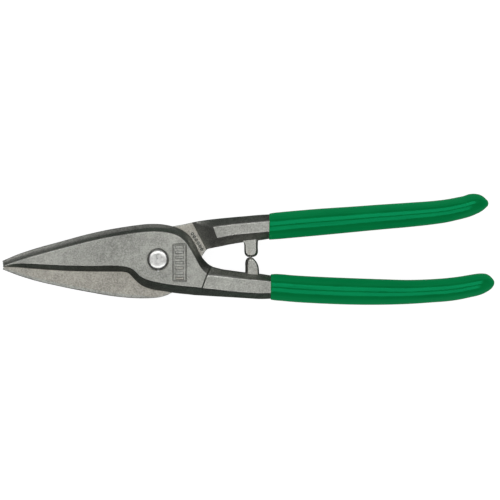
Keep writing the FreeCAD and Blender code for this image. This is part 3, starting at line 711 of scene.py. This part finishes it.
def nutPiece():
    # hexagon: radius = half the flats / cos(angle to the nearest flat); cone: corners fall at its angle
    g = nut
    low, high, _ = heightsOf("pivot_nut")
    collar = np.array(g["collar"]) + [0.0, low, 0.0]
    shoulder = collar[0, 1]
    wall, hair = 99.0, 0.001  # wall stands for the hexagon's own radius, which changes with the angle
    hexRows = [(g["bore"], high), (g["cornerRadius"], high), (wall, high - hair),
               (wall, high - g["coneReach"]), (wall, shoulder + g["coneReach"]), (wall, shoulder + hair),
               (g["cornerRadius"] - g["footInset"], shoulder)]
    profile = np.vstack([hexRows, filleted(collar[:, :2], collar[:, 2])])

    def hexagon(r, z, angle):
        turn = (angle + math.pi / 6) % (math.pi / 3) - math.pi / 6
        across = g["flats"] / 2 / np.cos(turn)
        across = np.minimum(across, g["flats"] / 2 / math.cos(math.pi / 6) - g["cornerCut"])
        fall = np.clip(across - g["cornerRadius"], 0, None) * math.tan(math.radians(g["coneAngle"]))
        onWall = r == wall
        upper = onWall & (z > (shoulder + high) / 2)
        height = np.where(upper, np.minimum(z, high - fall), z)
        height = np.where(onWall & ~upper, np.maximum(height, shoulder + fall), height)
        return np.where(onWall, across, r), height

    return lathePiece("pivotNutTurned", profile, 144, hexagon, sharpAngle=28)


boltHead = boltPiece()
washer = roundPiece("flatWasherTurned", **flatWasher)
disc = roundPiece("coneDiscSpring", **coneDisc)
hexNut = nutPiece()
lockRing = roundPiece("nutLockInsert", **lockInsert)
print("stage 4: fasteners")


def feed(tree, socket, value):
    # a socket takes another node's output, a colour, a vector or a number
    if isinstance(value, bpy.types.NodeSocket):
        tree.links.new(value, socket)
    elif socket.type == "RGBA":
        socket.default_value = (*value, 1)
    else:
        socket.default_value = value


def node(tree, kind, **values):
    # a new node; each value is one of its settings or feeds the socket of that name
    made = tree.nodes.new(kind)
    for key, value in values.items():
        if hasattr(made, key):
            setattr(made, key, value)
        else:
            feed(tree, made.inputs[key], value)
    return made


def worked(tree, operation, *values):
    # the result of a Math node
    made = node(tree, "ShaderNodeMath", operation=operation)
    for socket, value in zip(made.inputs, values):
        feed(tree, socket, value)
    return made.outputs[0]


def scaled(tree, colour, factor):
    # a colour times a factor
    made = node(tree, "ShaderNodeVectorMath", operation="SCALE", Scale=factor)
    feed(tree, made.inputs[0], colour)
    return made.outputs[0]


def mixed(tree, kind, factor, first, second):
    # first where the factor is 0, second where it is 1
    made = node(tree, "ShaderNodeMix", data_type=kind, Factor=factor, A=first, B=second)
    return made.outputs["Result"]


def bumped(tree, shader, height, strength, distance):
    bump = node(tree, "ShaderNodeBump", Strength=strength, Distance=distance, Height=height)
    feed(tree, shader.inputs["Normal"], bump.outputs["Normal"])


def newMaterial(name):
    material = bpy.data.materials.new(name)
    material.use_nodes = True
    return material, material.node_tree, material.node_tree.nodes["Principled BSDF"]


blast = {"fineDetail": 3.0, "fineRoughness": 0.65, "coarseScale": 260.0, "coarseDetail": 4.0,
         "coarseRoughness": 0.6, "coarseShare": 0.4, "broadScale": 45.0, "broadDetail": 2.0,
         "broadShare": 0.5, "mean": 0.95}


def speckleGroup():
    # height = fine noise + share * coarse noise; tint = 1 + depth * (height + share * broad noise - mean)
    g = blast
    group = bpy.data.node_groups.new("blastedSpeckle", "ShaderNodeTree")
    for label, way in (("Grain", "INPUT"), ("Depth", "INPUT"), ("Tint", "OUTPUT"), ("Height", "OUTPUT")):
        group.interface.new_socket(label, in_out=way, socket_type="NodeSocketFloat")
    entry, leave = node(group, "NodeGroupInput"), node(group, "NodeGroupOutput")
    place = node(group, "ShaderNodeTexCoord").outputs["Object"]
    fine = node(group, "ShaderNodeTexNoise", Vector=place, Scale=entry.outputs["Grain"],
                Detail=g["fineDetail"], Roughness=g["fineRoughness"])
    coarse = node(group, "ShaderNodeTexNoise", Vector=place, Scale=g["coarseScale"],
                  Detail=g["coarseDetail"], Roughness=g["coarseRoughness"])
    broad = node(group, "ShaderNodeTexNoise", Vector=place, Scale=g["broadScale"], Detail=g["broadDetail"])
    coarsePart = worked(group, "MULTIPLY", coarse.outputs["Fac"], g["coarseShare"])
    height = worked(group, "ADD", fine.outputs["Fac"], coarsePart)
    total = worked(group, "MULTIPLY_ADD", broad.outputs["Fac"], g["broadShare"], height)
    spread = worked(group, "SUBTRACT", total, g["mean"])
    feed(group, leave.inputs["Tint"], worked(group, "MULTIPLY_ADD", spread, entry.outputs["Depth"], 1.0))
    feed(group, leave.inputs["Height"], height)
    return group


speckle = speckleGroup()


def speckled(tree, look):
    made = node(tree, "ShaderNodeGroup", node_tree=speckle)
    made.inputs["Grain"].default_value = look["grain"]
    made.inputs["Depth"].default_value = look["grainDepth"]
    return made.outputs["Tint"], made.outputs["Height"]


# worn is the lighter colour that rounded edges are painted: partly rubbed wear, partly a painted highlight
steelLook = {"colour": (0.345, 0.35, 0.322), "wornAndHighlit": (0.42, 0.425, 0.40), "groundTint": (0.36, 0.347, 0.308),
             "wearAndHighlight": 0.6, "roughness": 0.42, "wornRoughness": -0.14, "grain": 1200.0, "grainDepth": 1.6,
             "bump": 0.25, "bumpDistance": 0.0004}


def forgedSteel():
    # blasted grey steel: grain in tint and bump, smoother on rounded edges, which are also painted brighter,
    # partly as rubbed wear and partly as a painted highlight; warmer where ground
    g = steelLook
    material, tree, shader = newMaterial("forgedSteel")
    tint, height = speckled(tree, g)
    wearAndHighlight, ground = (node(tree, "ShaderNodeAttribute", attribute_name=name).outputs["Fac"]
                    for name in ("wearAndHighlight", "ground"))
    # rounded edges and the raised panel get the lighter colour: partly rubbed wear, partly a painted
    # highlight
    wornAndHighlit = worked(tree, "MULTIPLY", worked(tree, "MULTIPLY", wearAndHighlight, tint), g["wearAndHighlight"])
    plain = mixed(tree, "RGBA", ground, g["colour"], g["groundTint"])
    feed(tree, shader.inputs["Base Color"], scaled(tree, mixed(tree, "RGBA", wornAndHighlit, plain, g["wornAndHighlit"]), tint))
    feed(tree, shader.inputs["Roughness"],
         worked(tree, "MULTIPLY_ADD", wornAndHighlit, g["wornRoughness"], g["roughness"]))
    feed(tree, shader.inputs["Metallic"], 1.0)
    bumped(tree, shader, height, g["bump"], g["bumpDistance"])
    return material


polishedLook = {"colour": (0.74, 0.74, 0.72), "roughness": 0.33, "grain": 600.0, "grainDepth": 0.9,
                "bump": 0.05, "bumpDistance": 0.0002}
zincLook = {"colour": (0.60, 0.62, 0.64), "roughness": 0.34, "grain": 1400.0, "grainDepth": 0.25,
            "bump": 0.05, "bumpDistance": 0.0002}


def platedSteel(name, g):
    # bright steel whose tint and roughness both follow the speckle
    material, tree, shader = newMaterial(name)
    tint, height = speckled(tree, g)
    feed(tree, shader.inputs["Base Color"], scaled(tree, g["colour"], tint))
    feed(tree, shader.inputs["Roughness"], worked(tree, "MULTIPLY", tint, g["roughness"]))
    feed(tree, shader.inputs["Metallic"], 1.0)
    bumped(tree, shader, height, g["bump"], g["bumpDistance"])
    return material


gripLook = {"deep": (0.0006, 0.115, 0.026), "light": (0.0015, 0.195, 0.048),
            # rim is the painted rim highlight: a lighter green mixed in where the grip is seen edge-on
            "rim": (0.003, 0.60, 0.20), "rimHighlightBlend": 0.26, "sheen": (0.015, 0.92, 0.42), "gloss": 0.5,
            "roughness": 0.12, "pitRoughness": 0.08, "streakStretch": (0.16, 1.0, 1.0),
            "streakScale": 260.0, "streakDetail": 3.0, "pitScale": 900.0, "pitDetail": 2.0,
            "pitShare": 0.15, "bump": 0.10, "bumpDistance": 0.0006}


def dippedCoating():
    # glossy green plastisol: faint streaks along the dip, tiny pits, and a painted rim highlight that
    # lightens the colour where the grip is seen edge-on
    g = gripLook
    material, tree, shader = newMaterial("dippedCoating")
    place = node(tree, "ShaderNodeTexCoord").outputs["Object"]
    stretched = node(tree, "ShaderNodeMapping", Scale=g["streakStretch"], Vector=place).outputs[0]
    streak = node(tree, "ShaderNodeTexNoise", Vector=stretched, Scale=g["streakScale"],
                  Detail=g["streakDetail"], Roughness=0.5).outputs["Fac"]
    pits = node(tree, "ShaderNodeTexNoise", Vector=place, Scale=g["pitScale"],
                Detail=g["pitDetail"]).outputs["Fac"]
    # painted rim highlight: the colour turns lighter where the surface is seen edge-on
    rimHighlightMask = node(tree, "ShaderNodeLayerWeight", Blend=g["rimHighlightBlend"]).outputs["Facing"]
    colour = mixed(tree, "RGBA", streak, g["deep"], g["light"])
    feed(tree, shader.inputs["Base Color"], mixed(tree, "RGBA", rimHighlightMask, colour, g["rim"]))
    feed(tree, shader.inputs["Roughness"],
         worked(tree, "MULTIPLY_ADD", pits, g["pitRoughness"], g["roughness"]))
    feed(tree, shader.inputs["Specular IOR Level"], g["gloss"])
    feed(tree, shader.inputs["Specular Tint"], g["sheen"])
    wave = worked(tree, "MULTIPLY_ADD", pits, g["pitShare"], streak)
    bumped(tree, shader, wave, g["bump"], g["bumpDistance"])
    return material


nylonLook = {"colour": (0.62, 0.62, 0.56), "roughness": 0.5, "grain": 1500.0, "grainDepth": 0.15}


def lockNylon():
    # pale plastic, faintly speckled
    material, tree, shader = newMaterial("lockNylon")
    tint, _ = speckled(tree, nylonLook)
    feed(tree, shader.inputs["Base Color"], scaled(tree, nylonLook["colour"], tint))
    feed(tree, shader.inputs["Roughness"], nylonLook["roughness"])
    return material


steel = forgedSteel()
polished = platedSteel("polishedSteel", polishedLook)
zinc = platedSteel("zincSteel", zincLook)
coating = dippedCoating()
nylon = lockNylon()

dressing = [
    (frontBlade, "root", "upper_blade_half", steel, "forged_steel"),
    (rearBlade, "rear_half", "lower_blade_half", steel, "forged_steel"),
    (lowerGrip, "root", "lower_grip", coating, "grip_coating"),
    (upperGrip, "rear_half", "upper_grip", coating, "grip_coating"),
    (boltHead, "root", "pivot_bolt", polished, "polished_steel"),
    (washer, "root", "flat_washer", zinc, "zinc_steel"),
    (disc, "root", "disc_spring", zinc, "zinc_steel"),
    (hexNut, "root", "pivot_nut", zinc, "zinc_steel"),
    (lockRing, "root", "nut_lock_ring", nylon, "nylon"),
]
for piece, body, cadNode, material, slotName in dressing:
    piece.data.materials.clear()
    piece.data.materials.append(material)
    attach(piece, body)
    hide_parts(cadNode)
print("stage 5: materials")

studio = {
    "floorSize": 4.0, "floorDrop": 0.0006,
    "floorGlow": 0.93,  # how white the floor is to the camera
    "floorSeen": (0.2, 0.2, 0.2), "floorPale": (0.6, 0.6, 0.6), "floorMirrored": (0.105, 0.135, 0.118),
    "backdrop": 1.0,  # what the camera sees behind the object
    "surround": 0.35,  # what lights the object from all sides
    "reflected": 0.045,  # what its steel reflects beside the boxes
    "aim": (0.05, 0.0, 0.01),
    "upperStrip": {"place": (0.05, 0.50, 1.5), "size": (1.7, 0.42), "power": 7.6},
    "lowerStrip": {"place": (0.05, -0.50, 1.5), "size": (1.7, 0.42), "power": 6.6},
    "skyPanel": {"place": (0.05, 1.5, 0.75), "size": (2.6, 0.9), "power": 2.2},
}


def blended(tree, factor, first, second):
    # one shader or another; without a factor, both together
    kind = "ShaderNodeAddShader" if factor is None else "ShaderNodeMixShader"
    made = node(tree, kind)
    if factor is not None:
        feed(tree, made.inputs["Fac"], factor)
    feed(tree, made.inputs[-2], first.outputs[0])
    feed(tree, made.inputs[-1], second.outputs[0])
    return made


def floorMaterial():
    # white to the camera, pale to scattered light, dark in reflections so that steep sides stay dark, and
    # clear from below so that the nut's side can be looked at
    material, tree, shader = newMaterial("paleFloor")
    tree.nodes.remove(shader)
    ray = node(tree, "ShaderNodeLightPath")
    below = node(tree, "ShaderNodeNewGeometry").outputs["Backfacing"]
    glow = node(tree, "ShaderNodeEmission", Strength=studio["floorGlow"])
    soft, pale, dark = (node(tree, "ShaderNodeBsdfDiffuse", Color=studio[k])
                        for k in ("floorSeen", "floorPale", "floorMirrored"))
    seen = blended(tree, None, glow, soft)
    unseen = blended(tree, ray.outputs["Is Glossy Ray"], pale, dark)
    above = blended(tree, ray.outputs["Is Camera Ray"], unseen, seen)
    oneSided = blended(tree, below, above, node(tree, "ShaderNodeBsdfTransparent"))
    feed(tree, tree.nodes["Material Output"].inputs["Surface"], oneSided.outputs[0])
    return material


def addFloor():
    half = studio["floorSize"] / 2
    corners = [(-half, -half), (half, -half), (half, half), (-half, half)]
    mesh = bpy.data.meshes.new("floor")
    mesh.from_pydata([(x, y, -studio["floorDrop"]) for x, y in corners], [], [(0, 1, 2, 3)])
    floor = bpy.data.objects.new("floor", mesh)
    floor.data.materials.append(floorMaterial())
    bpy.context.scene.collection.objects.link(floor)


def addSoftBox(name, place, size, power):
    light = bpy.data.lights.new(name, "AREA")
    light.shape = "RECTANGLE"
    light.size, light.size_y = size
    light.energy = power
    box = bpy.data.objects.new(name, light)
    box.location = place
    box.rotation_euler = (Vector(studio["aim"]) - Vector(place)).to_track_quat("-Z", "Y").to_euler()
    bpy.context.scene.collection.objects.link(box)


def addSurround():
    # one white of three strengths: for the camera, for reflections and for everything else
    world = bpy.data.worlds.new("studio")
    world.use_nodes = True
    tree = world.node_tree
    ray = node(tree, "ShaderNodeLightPath")
    around = mixed(tree, "FLOAT", ray.outputs["Is Glossy Ray"], studio["surround"], studio["reflected"])
    level = mixed(tree, "FLOAT", ray.outputs["Is Camera Ray"], around, studio["backdrop"])
    feed(tree, tree.nodes["Background"].inputs["Strength"], level)
    feed(tree, tree.nodes["Background"].inputs["Color"], (1, 1, 1))
    bpy.context.scene.world = world


view = {"centre": (0.05105, 0.00524), "width": 0.2787, "plane": 0.0131, "lens": 135.0, "sensor": 36.0}


def addCamera():
    data = bpy.data.cameras.new("camera")
    data.lens, data.sensor_width = view["lens"], view["sensor"]
    data.clip_start, data.clip_end = 0.05, 20.0
    camera = bpy.data.objects.new("camera", data)
    camera.location = (*view["centre"], view["plane"] + view["width"] * view["lens"] / view["sensor"])
    bpy.context.scene.collection.objects.link(camera)
    bpy.context.scene.camera = camera


addFloor()
for boxName in ("upperStrip", "lowerStrip", "skyPanel"):
    addSoftBox(boxName, **studio[boxName])
addSurround()
addCamera()
bpy.context.scene.view_settings.view_transform = "Standard"
print("stage 6: floor, light and camera")
